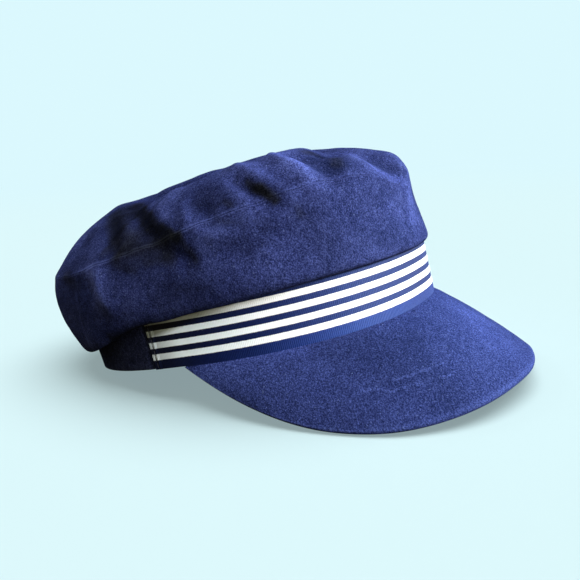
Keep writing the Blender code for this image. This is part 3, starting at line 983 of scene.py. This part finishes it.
peak = {
    "cover": 1.6,  # thickness of each cover
    "gap": 0.10,
    "reach": 56.9,  # from the seam to the edge, at the middle and at the ends
    "endReach": 1.5,
    "outlinePower": 4.7,
    "tuck": 2.8,  # under the band
    "seamHeight": -0.3,
    "halfAngle": 89.4,  # degrees from the middle to an end
    "slope": 34.5,  # degrees down at the middle, and more at the ends
    "sideSlope": 11.9,
    "sagRadius": 170.0,  # it curves down further towards the edge
    "fan": 0.29,  # how much its lines spread, 1 would be square to the band
    # where the edge swells a little: mm further out, across (0 middle, 1 end), half width
    "swells": ((1.8, 0.0, 0.11), (1.0, 0.57, 0.09), (-0.5, 0.69, 0.06)),
    "edgeRadius": 1.6,
    "underRadius": 1.28,
    "underIn": 0.1,  # how far the lower cover's inner face is drawn in
    "topGrid": (260, 84),
    "underGrid": (180, 50),
    "length": 59.0,
    "fineRows": (2.6, 8),
    "uneven": ((20.0, 0.22, 4), (7.0, 0.10, 5)),  # size, height, seed
    "unevenFrom": 5.0,  # mm from the seam to where it is all there
    "underUneven": 0.4,  # share of it on the lower cover
    "unevenTone": 0.5,
    "toneAndPaintedLight": (0.55, 1.2, 1.2),  # the pale line at the edge, a painted highlight of the rolled edge
    # strokes of painted shade and painted light, as on the crown: plan x, y, to x, y, half width,
    # amount
    "nap": (
        (-84, -12, -73, -62, 2.5, 0.35), (-91, -13, -67, -59, 6.5, 0.60),
        (-69, -76, -39, -106, 7.0, -0.25), (-65, -98, -53, -112, 9.0, -0.25),
        (15, -118, -2, -130, 12.5, 0.40), (-82, -70, -85, -42, 6.5, 0.20),
        (-55, -126, -61, -122, 6.0, -0.20), (-88, -14, -94, -48, 2.0, -0.50),
    ),
    # scuffed lines on the upper cover, through these places in plan
    "scuffs": (
        ((-77, -89), (-73, -96), (-71.5, -101), (-65, -107.5), (-60.5, -113)),
        ((-67, -101), (-61.5, -107), (-53.5, -113), (-44.5, -118.5)),
        ((-53.5, -118), (-47, -123)),
    ),
}


def peakReach(across):
    narrow = 1 - np.abs(across) ** peak["outlinePower"]
    return peak["endReach"] + (peak["reach"] - peak["endReach"]) * narrow


def peakLine(across, reach):
    # the upper face, before it is made soft: across from end to end, reach out from the seam
    angle = math.radians(peak["halfAngle"]) * across
    heading = peak["fan"] * angle
    slope = np.radians(peak["slope"] + peak["sideSlope"] * across**2)
    beyond = np.clip(reach, 0, None)
    swell = sum(softLine(np.abs(across), *line) for line in peak["swells"])
    run = beyond * np.cos(slope) + swell * (beyond / peak["reach"]) ** 2
    drop = beyond * np.sin(slope) + beyond**2 / (2 * peak["sagRadius"])
    start = ovalPlace(angle, np.clip(reach, None, 0), peak["seamHeight"])
    return start + np.stack([-run * np.sin(heading), -run * np.cos(heading), -drop], axis=-1)


def peakNormal(across, reach):
    # worked out from places a little way off, and none on the seam itself
    way, turn = 0.2, 0.001
    reach = np.maximum(reach, 0.3)
    out = peakLine(across, reach + way) - peakLine(across, reach - way)
    along = peakLine(across + turn, reach) - peakLine(across - turn, reach)
    normal = np.cross(along, out)
    normal *= np.sign(normal[:, 2:3])
    return normal / np.linalg.norm(normal, axis=-1, keepdims=True)


def peakGrid(x, y, rows):
    # how far across, how far out from the seam and how far from the edge
    across = np.sin(between(-math.pi / 2, math.pi / 2, x))
    share = fineEnds(y, peak["length"], rows, peak["fineRows"], low=False)
    whole = peak["tuck"] + peakReach(across)
    return across, share * whole - peak["tuck"], (1 - share) * whole


def peakCover(name, top, grid, material, node, uv=None):
    def place(x, y, z, depth):
        across, reach, toEdge = peakGrid(x, y, grid[1])
        if top:
            roll = edgeRoll(toEdge, peak["edgeRadius"])
            below = between(roll, peak["cover"], depth)
        else:
            roll = edgeRoll(toEdge, peak["underRadius"])
            upper = peak["cover"] + peak["gap"]
            below = between(upper, upper + peak["cover"] + peak["underIn"] - roll, depth)
        points = peakLine(across, reach)
        soft = unevenness(points, peak["uneven"])
        lift = soft * graded(reach, 0, peak["unevenFrom"]) * (1 if top else peak["underUneven"])
        toneAndPaintedLight = peak["unevenTone"] * soft + softLine(toEdge, *peak["toneAndPaintedLight"])
        # lean: the strokes of painted shade and painted light, on the upper cover only
        lean = np.zeros_like(toneAndPaintedLight)
        for x, y, toX, toY, halfWidth, amount in peak["nap"] if top else ():
            lean += amount * softStroke(points[:, 0] - x, points[:, 1] - y, toX - x, toY - y,
                                        halfWidth)
        points = points - (below - lift)[:, None] * peakNormal(across, reach)
        return points, {"toneAndPaintedLight": toneAndPaintedLight, "lean": lean}

    wallPiece(name, gridSheet(*grid), place, material, node, uv)


def peakUv(x, y, z):
    # the upper cover's plan, in millimetres
    across, reach, toEdge = peakGrid(x, y, peak["topGrid"][1])
    return peakLine(across, reach)[:, :2].T


print("peak")
suedePeak = suedeMaterial("navy suede of the peak", tint=(0.96, 1.04, 1.09), mottle=0.35,
                          scuffs=peak["scuffs"])
peakCover("peakTopCover", True, peak["topGrid"], suedePeak, "peak_top", peakUv)
peakCover("peakUnderCover", False, peak["underGrid"], suedeUnder, "peak_under")


# The stage, the light and the camera

view = {
    "azimuth": -58.3,  # degrees round from the cap's front
    "elevation": 8.46,
    "roll": 13.89,
    "distance": 450.0,
    "focal": 757.0,  # pixels
    "centre": (264.6, 324.5),  # of the lens, pixels
    "picture": 580,
    "sensor": 36.0,
}


def viewAxes():
    # the picture's right and up, and the way back to the camera
    azimuth, elevation = math.radians(view["azimuth"]), math.radians(view["elevation"])
    level = math.cos(elevation)
    back = Vector((math.sin(azimuth) * level, -math.cos(azimuth) * level, math.sin(elevation)))
    right = Vector((math.cos(azimuth), math.sin(azimuth), 0))
    up = back.cross(right)
    roll = math.radians(view["roll"])
    return (right * math.cos(roll) - up * math.sin(roll),
            right * math.sin(roll) + up * math.cos(roll), back)


def makeCamera():
    right, up, back = viewAxes()
    lens = bpy.data.cameras.new("photoCamera")
    camera = newObject("photoCamera", lens)
    placing = Matrix((right, up, back)).transposed().to_4x4()
    placing.translation = back * view["distance"] * mm
    camera.matrix_world = capToWorld @ placing
    lens.sensor_width = view["sensor"]
    lens.lens = view["focal"] / view["picture"] * view["sensor"]
    half = view["picture"] / 2
    lens.shift_x = (half - view["centre"][0]) / view["picture"]
    lens.shift_y = (view["centre"][1] - half) / view["picture"]
    lens.clip_start = 0.02
    lens.clip_end = 60
    bpy.context.scene.camera = camera


stage = {
    "colour": (0.71, 0.94, 0.99, 1.0),
    "albedo": (0.50, 0.66, 0.70, 1.0),
    "glow": 0.35,  # share of the paper's light that no shadow takes
    "fade": (0.6, 1.8),  # metres away, between which the lit paper turns into an even glow
    "size": 14.0,
    "wallHeight": 7.0,
    "bend": 2.0,  # radius where the floor turns up into the wall
    "flecks": (0.5, 0.6, 0.62, 1),
    "flecksShown": 0.02,
}


def stageMaterial():
    made = Nodes("pale backdrop paper")
    where = made.add("ShaderNodeTexCoord").outputs["Object"]
    away = made.add("ShaderNodeVectorMath", {0: where}, operation="LENGTH").outputs["Value"]
    start, end = stage["fade"]
    far = made.add("ShaderNodeMapRange", {0: away, 1: start, 2: end, 3: stage["glow"], 4: 1.0},
                   interpolation_type="SMOOTHSTEP").outputs[0]
    fleck = made.stretched(made.noise(where, 60.0, 3.0), 0.3, 0.7, 0.0, stage["flecksShown"])
    paper = made.mixed(fleck, stage["albedo"], stage["flecks"])
    made.set(Base_Color=made.mixed(far, paper, (0, 0, 0, 1)), Roughness=1.0,
             Specular_IOR_Level=0.0, Emission_Color=stage["colour"], Emission_Strength=far)
    return made.material


def makeStage():
    # a floor that turns up into a wall all round, as a paper sweep does
    sheet = bmesh.new()
    bmesh.ops.create_grid(sheet, x_segments=1, y_segments=1, size=stage["size"] / 2)
    raiseEdges(sheet, [edge for edge in sheet.edges if edge.is_boundary], stage["wallHeight"])
    corners = [edge for edge in sheet.edges if not edge.is_boundary]
    bmesh.ops.bevel(sheet, geom=corners, offset=stage["bend"], segments=16, profile=0.5,
                    affect="EDGES", material=-1)
    floor = meshObject("floorSweep", sheet, stageMaterial())
    # the paper only takes the shadow: it throws no light back on the cap
    floor.visible_diffuse = False
    floor.visible_glossy = False
    floor.visible_shadow = False


lights = {
    # name: way from the cap in the picture's right, up and towards the camera, then
    # strength, width of the soft source in degrees, colour, and whether it lights the
    # cap or the paper, as two lamps behind flags do
    "key": ((0.66, 0.37, 0.66), 6.2, 45.0, (1.0, 0.99, 0.96), "cap"),
    "side": ((0.98, 0.21, -0.03), 3.6, 40.0, (0.98, 1.0, 0.78), "cap"),
    "fill": ((0.22, 0.77, 0.60), 1.5, 50.0, (0.7, 0.85, 1.0), "cap"),
    "rim": ((0.63, 0.67, -0.39), 5.0, 50.0, (0.8, 0.95, 1.0), "cap"),
    "back": ((0.0, 0.5, -0.87), 3.6, 40.0, (1.0, 0.97, 0.95), "cap"),
    "left": ((-0.55, 0.82, 0.15), 1.1, 40.0, (1.0, 0.88, 0.6), "cap"),
    "rearLeft": ((-0.60, 0.35, -0.72), 1.6, 40.0, (1.0, 0.95, 0.88), "cap"),
    "paper": ((0.15, 1.0, 0.25), 4.2, 70.0, (1.0, 1.0, 1.0), "paper"),
}
skyLight = {"colour": (1.0, 0.82, 0.42, 1.0), "strength": 0.15}


def makeLights():
    right, up, back = [capToWorld.to_3x3() @ axis for axis in viewAxes()]
    lit = {"cap": bpy.data.collections.new("litCap"),
           "paper": bpy.data.collections.new("litPaper")}
    for thing in bpy.context.scene.objects:
        if thing.type == "MESH":
            lit["paper" if thing.name.startswith("floor") else "cap"].objects.link(thing)
    for name, (way, strength, width, colour, receiver) in lights.items():
        toLight = (right * way[0] + up * way[1] + back * way[2]).normalized()
        lamp = bpy.data.lights.new(name + "Light", "SUN")
        lamp.energy = strength
        lamp.angle = math.radians(width)
        lamp.color = colour
        placed = newObject(name + "Light", lamp)
        placed.location = toLight * 2  # metres, out of the picture
        placed.rotation_euler = toLight.to_track_quat("Z", "Y").to_euler()
        placed.light_linking.receiver_collection = lit[receiver]
        placed.visible_glossy = name != "rim"  # suede takes no shine from behind
    world = bpy.data.worlds.new("studio")
    world.use_nodes = True
    glow = world.node_tree.nodes["Background"]
    glow.inputs["Color"].default_value = skyLight["colour"]
    glow.inputs["Strength"].default_value = skyLight["strength"]
    bpy.context.scene.world = world


print("stage, light and camera")
makeStage()
makeLights()
makeCamera()
bpy.context.scene.view_settings.view_transform = "Standard"
